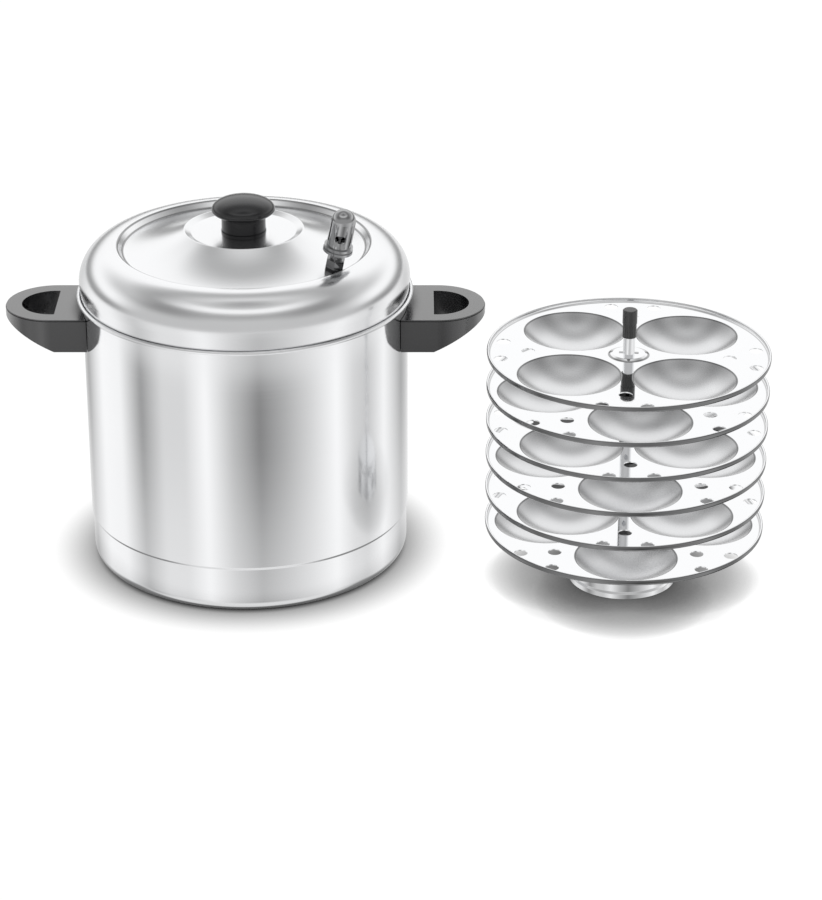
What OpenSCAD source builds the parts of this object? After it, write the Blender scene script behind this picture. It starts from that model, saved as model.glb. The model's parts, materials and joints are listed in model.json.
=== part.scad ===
// Idli steamer: a steel pot with a lidded, vented top and two side handles,
// beside a stand of six four-cup plates that turn and lock on one upright rod.
// The origin is the centre of the pot's underside, Z is up, and the handles lie along X.

/* [Pot] */
// Outer diameter of the pot's wall
pot_od = 230; // [200:1:260]
// Height of the pot's rim above the floor
pot_h = 216; // [190:1:250]
// Thickness of the pot's sheet
pot_wall = 0.8; // [0.6:0.1:1.4]
// Radius of the turn from the base to the wall
base_round = 9.5; // [6:0.5:16]
// Height of the pressed water line above the floor
water_line_h = 36; // [24:1:50]
// How far the wall stands in below the water line
water_line_inset = 1; // [0.5:0.1:1.5]
// Depth of the folded hem inside the rim
hem_h = 5; // [3:0.5:10]

/* [Lid] */
// Gap between the pot's wall and the lid's skirt
lid_clear = 1.1; // [0.9:0.1:2]
// Thickness of the lid's sheet
lid_wall = 0.7; // [0.5:0.1:1.2]
// Radius of the lid's big rounded shoulder
shoulder_r = 26; // [20:1:32]
// Length of the lid's straight skirt, from the shoulder to the middle of its rolled edge
skirt_h = 10; // [6:0.5:24]
// Diameter of the rolled edge
lid_bead_d = 2.8; // [2:0.1:4]
// Depth of the pressed channel inside the shoulder
channel_depth = 4.4; // [1.5:0.1:6]
// Width of the channel's outer wall, seen from above
channel_w = 3.6; // [3:0.1:6]
// Slope of the lid's cone at the channel, in degrees
cone_slope = 10; // [8:1:16]
// Radius of the cone's hollow curve, which makes it steeper towards the knob
cone_curve_r = 150; // [120:5:400]
// Radius of the lip round the knob's recess
recess_lip_r = 41.8; // [34:0.2:52]
// Width of the sloping wall from the lip to the floor of the recess
recess_wall_w = 4.8; // [3:0.1:7]
// Depth of the recess under its lip
recess_depth = 2.2; // [1.5:0.1:5]

/* [Knob] */
// Widest diameter of the knob
knob_d = 44.5; // [36:0.5:56]
// Height of the knob's cap
knob_cap_h = 15.5; // [12:0.5:22]
// Height of the cap's widest line above its underside
knob_belly_h = 6.8; // [4:0.2:9]
// Diameter of the knob's neck
knob_neck_d = 31; // [22:0.5:34]
// Height of the knob's neck
knob_neck_h = 8.5; // [6:0.5:14]
// Thickness of the bead where the knob's cap meets its neck
knob_bead_d = 1.6; // [1:0.1:3]
// Diameter of the collar under the knob
collar_d = 31.6; // [28:0.2:36]
// Height of the collar under the knob
collar_h = 1.1; // [0.8:0.1:3]
// Thread diameter of the knob's screw
knob_screw_d = 5; // [4:0.5:6]
// Length of the knob's screw under its head
knob_screw_l = 20; // [14:1:22]
// Diameter of the head of the knob's screw
knob_screw_head_d = 9.5; // [8:0.5:11]
// Height of the head of the knob's screw
knob_screw_head_h = 3; // [2.4:0.1:4]
// Diameter of the knob screw's washer
knob_washer_d = 14; // [11:0.5:20]
// Thickness of the knob screw's washer
knob_washer_t = 1; // [0.6:0.1:1.6]

/* [Whistle vent] */
// Distance of the vent's axis inside the lid's channel
vent_inset = 7.8; // [7.8:0.1:20]
// Direction of the vent seen from above, in degrees from the right-hand handle
vent_azimuth = -34; // [-80:1:80]
// Width across the flats of the vent's hexagon
vent_hex_af = 12; // [10:0.5:13]
// Height of the vent's hexagon
vent_hex_h = 6; // [3:0.5:7]
// Diameter of the vent's neck
vent_neck_d = 8.6; // [7:0.2:10]
// Height of the vent's neck above its hexagon
vent_neck_h = 6; // [3:0.2:8]
// Diameter of the nozzle that the weight hangs on
nozzle_d = 5; // [4:0.2:7]
// Length of the nozzle above the neck
nozzle_l = 20; // [14:0.5:24]
// Gap between the nozzle and the weight's bore
weight_play = 0.3; // [0.2:0.05:0.5]
// Steam bore through the vent
steam_bore_d = 3; // [2:0.2:3.6]
// Thread diameter under the lid
vent_thread_d = 8; // [6:0.5:9]
// Thickness of the vent's sealing ring
gasket_t = 1.4; // [1:0.1:2.5]
// Thickness of the vent's nut
vent_nut_t = 3; // [2:0.5:5]
// Width across the flats of the vent's nut
vent_nut_af = 12.5; // [11:0.5:13]
// Diameter of the weight's barrel
weight_d = 17.2; // [12:0.2:18]
// Length of the weight without its flange
weight_l = 27; // [22:0.5:36]
// Diameter of the weight's flange
weight_flange_d = 20.8; // [16:0.2:22]
// Thickness of the weight's flange
weight_flange_t = 4.4; // [3:0.2:6]
// Width of the weight's side window
window_w = 8; // [6:0.5:9]
// Height of the window's middle above the weight's flange
window_up = 8.1; // [6:0.1:14]
// Height of the weight's side window
window_h = 5.6; // [4:0.2:6]

/* [Handles] */
// Width of each handle along the pot
handle_w = 68; // [56:1:80]
// Distance from the pot's axis to the handle's tip
handle_reach = 170; // [160:1:190]
// Gap between the lid's rolled edge and the handle's flat top below it
handle_gap = 8.6; // [5:0.2:30]
// Depth of the handle's root
handle_root_h = 24; // [20:1:30]
// Depth of the handle's tip
handle_tip_h = 6; // [4:0.5:10]
// Thickness of the wall between the pot and the finger hole
handle_root_t = 18.5; // [16:0.5:24]
// Width of the grip round the finger hole
grip_w = 11.5; // [9:0.5:14]
// Bevel along the handle's top edge
handle_bevel = 1.2; // [0.6:0.1:2]
// Diameter of the handle's screw
handle_screw_d = 5; // [4:0.5:6]
// Diameter of the screw's head
handle_screw_head_d = 10; // [8:0.5:12]
// Height of the straight rim of the screw's head
handle_screw_rim_h = 1.1; // [0.8:0.1:1.6]
// Depth of the screw's seat in the wall of the finger hole
head_recess = 2.2; // [1:0.1:3]
// Width of the steel bracket along the pot
bracket_w = 30; // [24:1:40]
// Height of the steel bracket
bracket_h = 14; // [12:1:18]
// Thickness of the bracket's plate
bracket_t = 1.5; // [1:0.1:2.5]
// Diameter of the bracket's threaded boss
boss_d = 9; // [8:0.5:11]
// Length of the bracket's threaded boss
boss_l = 9; // [6:0.5:12]

/* [Plates] */
// Outer diameter of a plate
plate_od = 197.6; // [180:0.2:206]
// Thickness of a plate's sheet
plate_t = 0.8; // [0.6:0.1:1.2]
// Height of the lowest plate's face above the floor
plate_first_h = 42.2; // [38:0.2:50]
// Distance from one plate to the next
plate_pitch = 25.9; // [22:0.1:30]
// Diameter of a cup
cup_d = 71.5; // [60:0.5:74]
// Depth of a cup
cup_depth = 13.5; // [10:0.5:15]
// Distance of the cups' centres from the rod
cup_ring_r = 55.8; // [53:0.1:57]
// Height of the plate's upturned rim
lip_h = 2.6; // [1.5:0.1:4]
// Diameter of the rolled edge on the rim
lip_bead_d = 1.6; // [1.2:0.1:2.4]
// Diameter of a steam hole
steam_hole_d = 9.6; // [6:0.2:10]
// Distance of the outer steam holes from the rod
outer_hole_r = 89.5; // [88:0.5:91]
// Angle between the two outer steam holes of a group
outer_hole_spread = 19.7; // [15:0.1:22]
// Distance of the inner steam hole from the rod
inner_hole_r = 70; // [68:0.5:76]
// Diameter of the raised hub, at its foot
hub_d = 28.4; // [24:0.2:32]
// Height of the raised hub
hub_h = 1.5; // [1:0.1:2.5]
// Turn of each plate from its own seat, lowest plate first, in degrees
plate_skew = [-1.8, -3.3, -0.3, -1.5, 5.2, -5.5]; // [-8:0.1:8]

/* [Stand] */
// Place of the stand's rod beside the pot
stand_x = 268.8; // [262:0.2:320]
// Distance of the stand's rod in front of the pot's axis
stand_y = -53.9; // [-80:0.1:20]
// Diameter of the rod
rod_d = 8; // [6:0.5:10]
// Gap between the rod and the plates' keyholes
keyhole_clear = 0.4; // [0.2:0.1:0.8]
// Diameter of the cross pins that carry the plates
lug_d = 2.6; // [2:0.1:3]
// Length of the cross pins
lug_l = 12.4; // [11:0.2:14]
// Diameter of the grip at the rod's top
grip_d = 10.2; // [8.5:0.1:13]
// Length of the grip
grip_l = 20.2; // [17:0.2:26]
// Length of the grip's plain upper half
grip_plain_l = 10.1; // [6:0.1:12]
// Height of the rod above the top plate, up to the grip
rod_over = 13.6; // [8:0.2:30]
// Number of flutes round the grip
flute_count = 16; // [8:2:24]
// Diameter of each flute
flute_d = 1; // [0.6:0.1:1.2]
// Diameter of the foot cup
foot_d = 76.5; // [66:0.5:78]
// Height of the foot cup
foot_h = 24; // [18:0.5:25]
// Thickness of the foot cup's sheet
foot_wall = 0.9; // [0.7:0.1:1.4]
// Rounding of the foot cup's upper edge
foot_round = 7; // [5:0.5:9]
// How far the foot cup flares out at its lower edge
foot_flare_w = 1; // [0.6:0.1:1.6]
// Height of the flared edge
foot_flare_h = 4.2; // [3.4:0.1:6]
// Thread diameter at the rod's ends
stud_d = 6; // [4:0.5:6]
// Length of the upper stud inside the grip
stud_l = 12; // [8:0.5:14]
// Thickness of the nut under the foot cup
foot_nut_t = 5; // [4:0.5:6]
// Width across the flats of the nut under the foot cup
foot_nut_af = 10; // [9:0.5:12]

/* [Fits] */
// Gap between pieces that rest on one another but can part
seat_gap = 0.3; // [0.2:0.05:0.5]
// Gap between a moulded pocket and the steel inside it
pocket_gap = 0.3; // [0.2:0.05:0.5]
// Gap round a screw or stud in its hole
screw_gap = 0.2; // [0.1:0.05:0.4]
// Gap round a running fit
run_gap = 0.08; // [0.03:0.01:0.1]

/* [Hidden] */

STEEL = [0.80, 0.81, 0.83];
SATIN = [0.68, 0.69, 0.71];
BAKELITE = [0.10, 0.10, 0.11];
SILICONE = [0.16, 0.16, 0.17];
round_steps = 10;
eps = 0.01;

// Pot and lid, worked out from the sizes above
pot_r = pot_od/2;
rim_round = pot_wall;
line_round = 0.8;
skirt_r = pot_r + lid_clear + lid_wall;
crest_r = skirt_r - shoulder_r;
// The lid hangs on the rim where the inside of its shoulder meets the rim's rounding
seat_reach = shoulder_r - lid_wall - seat_gap - rim_round;
shoulder_z = pot_h - rim_round
           - sqrt(pow(seat_reach, 2) - pow(pot_r - rim_round - crest_r, 2));
crest_z = shoulder_z + shoulder_r;
bead_z = shoulder_z - skirt_h;
bead_r = skirt_r - lid_wall + lid_bead_d/2;
crest_flat = 1.8;
crest_round = 1.8;
channel_round = 1.4;
recess_lip_round = 1.2;
recess_round = 1;
cone_steps = 10;
cone_r = crest_r - crest_flat - channel_w;
cone_z = crest_z - channel_depth;
// Slope of the cone's outer face at radius r, and its height there
function slope_at(r) = asin(sin(cone_slope) + (cone_r - r)/cone_curve_r);
function cone_at(r) = cone_z + cone_curve_r*(cos(cone_slope) - cos(slope_at(r)));
recess_lip_z = cone_at(recess_lip_r);
recess_z = recess_lip_z - recess_depth;
recess_r = recess_lip_r - recess_wall_w;

// Vent: its axis stands square on the cone, and its flat ring bridges the cone's hollow
vent_r = cone_r - vent_inset;
vent_sag = pow(vent_hex_af/2, 2)/(2*cone_curve_r);
vent_foot_z = cone_at(vent_r) + vent_sag;
hex_z = gasket_t;
neck_z = hex_z + vent_hex_h;
nozzle_z = neck_z + vent_neck_h;
weight_z = nozzle_z + seat_gap;
weight_bore_d = nozzle_d + 2*weight_play;
weight_bore_l = nozzle_l + 4*seat_gap;
hex_chamfer = 0.5;
thread_end = 1.5;

// Handles
handle_end_r = handle_w/2;
handle_end_x = handle_reach - handle_end_r;
handle_top_h = bead_z - lid_bead_d/2 - handle_gap;
handle_z = handle_top_h - handle_root_h;
handle_mid_z = handle_top_h - handle_root_h/2;
handle_root_x = pot_r + handle_root_t;
boss_x = pot_r + bracket_t;
slot_w = 1;

// Stand
plate_r = plate_od/2;
plate_count = 6;
lip_r = plate_r - lip_bead_d/2;
cup_r = cup_d/2;
cup_sphere_r = (pow(cup_r, 2) + pow(cup_depth, 2))/(2*cup_depth);
cup_centre_h = cup_sphere_r - cup_depth;
function plate_z(i) = plate_first_h + i*plate_pitch;
top_plate_z = plate_z(plate_count - 1);
rod_r = rod_d/2;
lug_gap = seat_gap;
lug_drop = plate_t - hub_h + lug_gap + lug_d/2;
keyhole_d = rod_d + 2*keyhole_clear;
notch_l = lug_l + 4*seat_gap;
notch_w = lug_d + 3*seat_gap;
plate_round = 1.2;
grip_z = top_plate_z + rod_over;

function unit(v) = v/norm(v);
function turned_left(v) = [-v[1], v[0]];
function cross2(a, b) = a[0]*b[1] - a[1]*b[0];
function xy(p) = [p[0], p[1]];

// Points round the corner at b, between a and c, where b's third number is its radius
function corner(a, b, c) =
    let (to_a = unit(xy(a) - xy(b)), to_c = unit(xy(c) - xy(b)), half = acos(to_a*to_c)/2,
         mid = xy(b) + unit(to_a + to_c)*b[2]/sin(half),
         first = xy(b) + to_a*b[2]/tan(half) - mid,
         start = atan2(first[1], first[0]),
         sweep = (cross2(-to_a, to_c) > 0 ? 1 : -1)*(180 - 2*half))
    b[2] == 0 ? [xy(b)]
    : [for (k = [0:round_steps]) mid + b[2]*[cos(start + sweep*k/round_steps),
                                             sin(start + sweep*k/round_steps)]];

// A path through points [r, z, radius], with its inner corners rounded
function rounded(points) =
    let (last = len(points) - 1)
    [xy(points[0]),
     for (k = [1:last - 1]) each corner(points[k - 1], points[k], points[k + 1]),
     xy(points[last])];

// The same path moved to its left by t
function beside(path, t) =
    let (last = len(path) - 1)
    [for (k = [0:last])
        let (before = turned_left(unit(path[max(k, 1)] - path[max(k, 1) - 1])),
             after = turned_left(unit(path[min(k, last - 1) + 1] - path[min(k, last - 1)])),
             mid = unit(before + after))
        path[k] + mid*t/(mid*before)];

function backwards(list) = [for (k = [len(list) - 1:-1:0]) list[k]];

// Sheet of thickness t spun round the Z axis, lying to the left of a path
module spun_sheet(points, t) {
    path = rounded(points);
    rotate_extrude($fn = 120) polygon(concat(path, backwards(beside(path, t))));
}

module ring_bead(r, z, d) {
    translate([0, 0, z]) rotate_extrude($fn = 120) translate([r, 0]) circle(d = d, $fn = 24);
}

module tube(d, bore, h) {
    difference() {
        cylinder(d = d, h = h, $fn = 48);
        translate([0, 0, -1]) cylinder(d = bore, h = h + 2, $fn = 48);
    }
}

// The pot: a drawn shell with a stepped water line and a folded hem
module pot_body() {
    color(STEEL) {
        lower_r = pot_r - water_line_inset;
        spun_sheet([[0, 0, 0], [lower_r, 0, base_round],
                    [lower_r, water_line_h - 2*water_line_inset, line_round],
                    [pot_r, water_line_h, line_round], [pot_r, pot_h - rim_round, 0]], pot_wall);
        difference() {
            translate([0, 0, pot_h - hem_h])
                cylinder(r = pot_r - pot_wall, h = hem_h - rim_round, $fn = 120);
            translate([0, 0, pot_h - hem_h - 1])
                cylinder(r = pot_r - 2*pot_wall, h = hem_h + 2, $fn = 120);
        }
        ring_bead(pot_r - pot_wall, pot_h - rim_round, 2*rim_round);
    }
}

// Steel bracket on the pot's wall, drawn for the right-hand side
module bracket() {
    color(SATIN) difference() {
        union() {
            intersection() {
                translate([0, 0, handle_mid_z - bracket_h/2])
                    cylinder(r = pot_r + bracket_t, h = bracket_h, $fn = 120);
                translate([0, -bracket_w/2, 0]) cube([pot_od, bracket_w, pot_h]);
            }
            translate([boss_x - 1, 0, handle_mid_z]) rotate([0, 90, 0])
                cylinder(d = boss_d, h = boss_l + 1, $fn = 40);
        }
        cylinder(r = pot_r, h = pot_h, $fn = 120);
        translate([pot_r - 1, 0, handle_mid_z]) rotate([0, 90, 0])
            cylinder(d = handle_screw_d, h = boss_l + bracket_t + 2, $fn = 32);
    }
}

// Outline of a handle seen from above
module handle_plan(inset) {
    translate([handle_end_x, 0]) circle(r = handle_end_r - inset, $fn = 96);
    translate([pot_r*0.8, -handle_w/2 + inset]) square([handle_end_x - pot_r*0.8, handle_w - 2*inset]);
}

// Finger hole seen from above: straight towards the pot and round towards the tip
module finger_plan(inset) {
    intersection() {
        translate([handle_end_x, 0]) circle(r = handle_end_r - grip_w - inset, $fn = 96);
        translate([handle_root_x + inset, -handle_w/2]) square([handle_w, handle_w]);
    }
}

// The underside is level at the root and slopes up to the tip
module handle_side() {
    rotate([90, 0, 0]) linear_extrude(handle_w + 2, center = true)
        polygon([[0, handle_z], [handle_root_x, handle_z],
                 [handle_reach + eps, handle_top_h - handle_tip_h],
                 [handle_reach + eps, handle_top_h + 1], [0, handle_top_h + 1]]);
}

// Moulded handle, drawn for the right-hand side
module handle() {
    color(BAKELITE) difference() {
        intersection() {
            union() {
                translate([0, 0, handle_z]) linear_extrude(handle_root_h - handle_bevel) handle_plan(0);
                translate([0, 0, handle_top_h - handle_bevel - eps])
                    linear_extrude(handle_bevel + eps) handle_plan(handle_bevel*0.5);
            }
            handle_side();
        }
        translate([0, 0, handle_z - 1]) linear_extrude(handle_root_h + 2) finger_plan(0);
        cylinder(r = pot_r + pocket_gap, h = pot_h, $fn = 120);
        // Pocket for the bracket's plate, then its boss, the screw and the screw's head
        translate([0, -bracket_w/2 - pocket_gap, handle_mid_z - bracket_h/2 - pocket_gap]) intersection() {
            cube([pot_od, bracket_w + 2*pocket_gap, bracket_h + 2*pocket_gap]);
            translate([0, bracket_w/2 + pocket_gap, -1])
                cylinder(r = pot_r + bracket_t + pocket_gap, h = bracket_h + 4, $fn = 120);
        }
        translate([0, 0, handle_mid_z]) rotate([0, 90, 0]) {
            cylinder(d = boss_d + 2*pocket_gap, h = boss_x + boss_l + pocket_gap, $fn = 40);
            cylinder(d = handle_screw_d + 2*screw_gap, h = handle_root_x + 1, $fn = 32);
            translate([0, 0, handle_root_x - head_recess])
                cylinder(d = handle_screw_head_d + 2*screw_gap, h = head_recess + 1, $fn = 40);
        }
    }
}

// Round-headed screw from the finger hole into the bracket's boss
module handle_screw() {
    x = handle_root_x - head_recess + seat_gap/3;
    color(STEEL) translate([x, 0, handle_mid_z]) rotate([0, 90, 0]) difference() {
        union() {
            translate([0, 0, boss_x - x])
                cylinder(d = handle_screw_d - 2*run_gap, h = x - boss_x + eps, $fn = 32);
            cylinder(d = handle_screw_head_d, h = handle_screw_rim_h, $fn = 40);
            // The domed top is a slice of a ball as wide as two heads
            translate([0, 0, handle_screw_rim_h]) intersection() {
                translate([0, 0, -handle_screw_head_d*cos(30)]) sphere(r = handle_screw_head_d, $fn = 64);
                cylinder(d = handle_screw_head_d, h = handle_screw_head_d, $fn = 40);
            }
        }
        translate([-handle_screw_head_d, -slot_w/2, handle_screw_rim_h])
            cube([2*handle_screw_head_d, slot_w, handle_screw_head_d]);
    }
}

module left_side() { mirror([1, 0, 0]) children(); }
module left_handle_bracket() { left_side() bracket(); }
module right_handle_bracket() { bracket(); }
module left_handle() { left_side() handle(); }
module right_handle() { handle(); }
module handle_screws() {
    handle_screw();
    left_side() handle_screw();
}

// Moves its children from the vent's own axis to the lid's cone
module at_vent() {
    rotate([0, 0, vent_azimuth]) translate([vent_r, 0, vent_foot_z])
        rotate([0, slope_at(vent_r), 0]) children();
}

// The lid: skirt, rounded shoulder, channel, hollow cone and lipped recess in one pressed sheet
module lid_shell() {
    color(STEEL) difference() {
        union() {
            spun_sheet([[skirt_r, bead_z, 0], [skirt_r, crest_z, shoulder_r - eps],
                        [crest_r - crest_flat, crest_z, crest_round],
                        [cone_r, cone_z, channel_round],
                        for (k = [1:cone_steps - 1])
                            let (r = cone_r + (recess_lip_r - cone_r)*k/cone_steps) [r, cone_at(r), 0],
                        [recess_lip_r, recess_lip_z, recess_lip_round],
                        [recess_r, recess_z, recess_round], [0, recess_z, 0]], lid_wall);
            ring_bead(bead_r, bead_z, lid_bead_d);
        }
        translate([0, 0, recess_z - lid_wall - 1])
            cylinder(d = knob_screw_d + 2*screw_gap, h = lid_wall + 2, $fn = 32);
        at_vent() translate([0, 0, -lid_wall - 1])
            cylinder(d = vent_thread_d + 2*screw_gap, h = lid_wall + 2, $fn = 40);
    }
}

// Thin collar between the knob and the lid
module knob_collar() {
    color(BAKELITE) translate([0, 0, recess_z]) tube(collar_d, knob_screw_d + 2*screw_gap, collar_h);
}

// Mushroom knob with a threaded bore
module knob() {
    neck_z = recess_z + collar_h;
    groove = 0.6;
    lower = knob_belly_h;
    upper = knob_cap_h - lower;
    color(BAKELITE) translate([0, 0, neck_z]) rotate_extrude($fn = 96) difference() {
        union() {
            translate([0, groove]) square([knob_neck_d/2, knob_neck_h + lower - groove]);
            square([knob_neck_d/2 - groove, groove + eps]);
            // The cap's underside is half an ellipse, which meets the neck at this height
            translate([knob_neck_d/2, knob_neck_h + lower*(1 - sqrt(1 - pow(knob_neck_d/knob_d, 2)))])
                circle(d = knob_bead_d, $fn = 24);
            intersection() {
                translate([0, knob_neck_h + lower]) scale([1, lower/(knob_d/2)]) circle(d = knob_d, $fn = 96);
                translate([0, knob_neck_h]) square([knob_d/2, lower]);
            }
            intersection() {
                translate([0, knob_neck_h + lower]) scale([1, upper/(knob_d/2)]) circle(d = knob_d, $fn = 96);
                translate([0, knob_neck_h + lower]) square([knob_d/2, upper]);
            }
        }
        translate([-1, -1]) square([knob_screw_d/2 + 1, knob_screw_l - collar_h]);
    }
}

// Pan-headed screw up through the washer, lid and collar into the knob
module knob_screw() {
    head_z = recess_z - lid_wall - knob_washer_t;
    color(STEEL) translate([0, 0, head_z]) difference() {
        union() {
            cylinder(d = knob_screw_d - 2*run_gap, h = knob_screw_l, $fn = 32);
            translate([0, 0, -knob_screw_head_h])
                cylinder(d1 = knob_screw_head_d*0.8, d2 = knob_screw_head_d, h = knob_screw_head_h, $fn = 40);
        }
        translate([-knob_screw_head_d, -slot_w/2, -knob_screw_head_h - 1])
            cube([2*knob_screw_head_d, slot_w, knob_screw_head_h*0.4 + 1]);
    }
}

module knob_washer() {
    color(SATIN) translate([0, 0, recess_z - lid_wall - knob_washer_t])
        tube(knob_washer_d, knob_screw_d + 2*screw_gap, knob_washer_t);
}

// Vent: hexagon, neck and nozzle above the lid, thread below, one steam bore through all
module vent_stem() {
    shank = lid_wall + vent_nut_t + seat_gap + thread_end;
    corner_r = vent_hex_af/2/cos(30);
    tip = nozzle_d*0.3;
    color(STEEL) at_vent() difference() {
        union() {
            translate([0, 0, hex_z]) intersection() {
                cylinder(r = corner_r, h = vent_hex_h, $fn = 6);
                cylinder(r1 = corner_r - hex_chamfer + vent_hex_h, r2 = corner_r - hex_chamfer,
                         h = vent_hex_h, $fn = 48);
            }
            translate([0, 0, neck_z]) cylinder(d = vent_neck_d, h = vent_neck_h, $fn = 40);
            translate([0, 0, nozzle_z]) cylinder(d = nozzle_d, h = nozzle_l - tip, $fn = 40);
            translate([0, 0, nozzle_z + nozzle_l - tip])
                cylinder(d1 = nozzle_d, d2 = nozzle_d*0.75, h = tip, $fn = 40);
            translate([0, 0, -shank]) cylinder(d = vent_thread_d, h = shank + hex_z, $fn = 40);
        }
        translate([0, 0, -shank - 1])
            cylinder(d = steam_bore_d, h = shank + nozzle_z + nozzle_l + 2, $fn = 24);
    }
}

module vent_gasket() {
    color(SILICONE) at_vent() tube(vent_hex_af, vent_thread_d + 2*screw_gap, gasket_t);
}

module vent_nut() {
    color(SATIN) at_vent() translate([0, 0, -lid_wall - seat_gap - vent_nut_t]) difference() {
        cylinder(d = vent_nut_af/cos(30), h = vent_nut_t, $fn = 6);
        translate([0, 0, -1]) cylinder(d = vent_thread_d + 2*run_gap, h = vent_nut_t + 2, $fn = 40);
    }
}

// Weight that lifts to let steam out of its side window
module whistle_weight() {
    r = weight_d/2;
    groove_z = weight_flange_t*0.4;
    groove_h = weight_flange_t*0.2;
    dome_z = weight_flange_t + weight_l - r;
    color(STEEL) at_vent() translate([0, 0, weight_z]) difference() {
        union() {
            cylinder(d = weight_flange_d, h = groove_z, $fn = 64);
            translate([0, 0, groove_z])
                cylinder(d = weight_flange_d - 2*groove_h, h = groove_h, $fn = 64);
            translate([0, 0, groove_z + groove_h])
                cylinder(d = weight_flange_d - groove_h, h = weight_flange_t - groove_z - groove_h, $fn = 64);
            translate([0, 0, weight_flange_t]) cylinder(r = r, h = dome_z - weight_flange_t, $fn = 64);
            translate([0, 0, dome_z]) sphere(r = r, $fn = 64);
        }
        translate([0, 0, -1]) cylinder(d = weight_bore_d, h = weight_bore_l + 1, $fn = 40);
        // The window faces the front, whichever way the vent leans
        rotate([0, 0, -90 - vent_azimuth]) translate([0, 0, weight_flange_t + window_up])
            rotate([0, 90, 0]) linear_extrude(weight_d) {
                square([window_h, window_w - window_h], center = true);
                for (side = [-1, 1])
                    translate([0, side*(window_w - window_h)/2]) circle(d = window_h, $fn = 32);
            }
    }
}

module at_stand(z) { translate([stand_x, stand_y, z]) children(); }

// Foot: a spun cup turned over, with a flared lower edge
module stand_foot() {
    edge_r = foot_d/2;
    wall_r = edge_r - foot_flare_w;
    bend = foot_flare_w*0.8;
    color(STEEL) at_stand(0) difference() {
        spun_sheet([[edge_r, 0, 0], [edge_r, foot_flare_h - bend, bend], [wall_r, foot_flare_h + bend, bend],
                    [wall_r, foot_h, foot_round], [0, foot_h, 0]], foot_wall);
        translate([0, 0, foot_h - foot_wall - 1])
            cylinder(d = stud_d + 2*screw_gap, h = foot_wall + 2, $fn = 40);
    }
}

module lug_place(i) { translate([0, 0, plate_z(i) - lug_drop]) rotate([90, 0, 0]) children(); }

// Rod with a stud at each end and a cross hole under each plate
module stand_rod() {
    color(STEEL) at_stand(0) difference() {
        union() {
            translate([0, 0, foot_h]) cylinder(d = rod_d, h = grip_z - foot_h, $fn = 48);
            translate([0, 0, foot_h - foot_wall - foot_nut_t - thread_end])
                cylinder(d = stud_d, h = foot_wall + foot_nut_t + thread_end + eps, $fn = 40);
            translate([0, 0, grip_z - eps]) cylinder(d = stud_d, h = stud_l, $fn = 40);
        }
        for (i = [0:plate_count - 1]) lug_place(i)
            cylinder(d = lug_d + 2*run_gap, h = rod_d + 2, center = true, $fn = 24);
    }
}

// Cross pins that stick out of the rod to front and back, one under each plate
module plate_lugs() {
    color(SATIN) at_stand(0) for (i = [0:plate_count - 1]) lug_place(i)
        cylinder(d = lug_d, h = lug_l, center = true, $fn = 24);
}

// Grip with a plain upper half and a fluted lower half
module stand_grip() {
    edge = 0.6;
    fluted_l = grip_l - grip_plain_l;
    fluted_d = grip_d - edge;
    color(BAKELITE) at_stand(grip_z) difference() {
        union() {
            translate([0, 0, fluted_l]) cylinder(d = grip_d, h = grip_plain_l - edge, $fn = 48);
            translate([0, 0, grip_l - edge]) cylinder(d1 = grip_d, d2 = grip_d - 2*edge, h = edge, $fn = 48);
            cylinder(d = fluted_d, h = fluted_l + eps, $fn = 48);
        }
        translate([0, 0, -1]) cylinder(d = stud_d + 2*run_gap, h = stud_l + 1 + seat_gap, $fn = 40);
        for (k = [0:flute_count - 1]) rotate([0, 0, k*360/flute_count])
            translate([fluted_d/2 + flute_d/4, 0, edge])
                cylinder(d = flute_d, h = fluted_l - 2*edge, $fn = 16);
    }
}

module foot_nut() {
    color(SATIN) at_stand(foot_h - foot_wall - foot_nut_t) difference() {
        cylinder(d = foot_nut_af/cos(30), h = foot_nut_t, $fn = 6);
        translate([0, 0, -1]) cylinder(d = stud_d + 2*run_gap, h = foot_nut_t + 2, $fn = 40);
    }
}

// One plate at height 0: four cups, a raised hub with a keyhole, steam holes and a rolled rim
module cup_plate() {
    hub_r = hub_d/2;
    inner_r = plate_r - plate_t;
    through = cup_depth + plate_t;
    difference() {
        union() {
            spun_sheet([[inner_r, lip_h, 0], [inner_r, 0, plate_round],
                        [hub_r, 0, plate_round], [hub_r - 2*hub_h, hub_h, plate_round],
                        [0, hub_h, 0]], plate_t);
            ring_bead(lip_r, lip_h, lip_bead_d);
            // Outside of a cup: the part of a larger ball that hangs under the plate's face
            for (k = [0:3]) rotate([0, 0, 45 + 90*k]) translate([cup_ring_r, 0, 0]) intersection() {
                translate([0, 0, cup_centre_h]) sphere(r = cup_sphere_r + plate_t, $fn = 160);
                translate([0, 0, -2*through]) cylinder(r = cup_sphere_r, h = 2*through, $fn = 96);
            }
        }
        for (k = [0:3]) rotate([0, 0, 45 + 90*k]) {
            translate([cup_ring_r, 0, cup_centre_h]) sphere(r = cup_sphere_r, $fn = 160);
            for (side = [-1, 1]) rotate([0, 0, 45 + side*outer_hole_spread/2])
                translate([outer_hole_r, 0, -plate_t - 1])
                    cylinder(d = steam_hole_d, h = plate_t + 2, $fn = 40);
            rotate([0, 0, 45]) translate([inner_hole_r, 0, -plate_t - 1])
                cylinder(d = steam_hole_d, h = plate_t + 2, $fn = 40);
        }
        translate([0, 0, -plate_t]) cylinder(d = keyhole_d, h = hub_h + 2*plate_t, $fn = 48);
        translate([-notch_l/2, -notch_w/2, -plate_t]) cube([notch_l, notch_w, hub_h + 2*plate_t]);
    }
}

// Plates are numbered from the lowest, and every other one stands an eighth of a turn round
module plate(number) {
    i = number - 1;
    color(STEEL) at_stand(plate_z(i)) rotate([0, 0, (i % 2 == 0 ? 45 : 0) + plate_skew[i]]) cup_plate();
}

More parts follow.
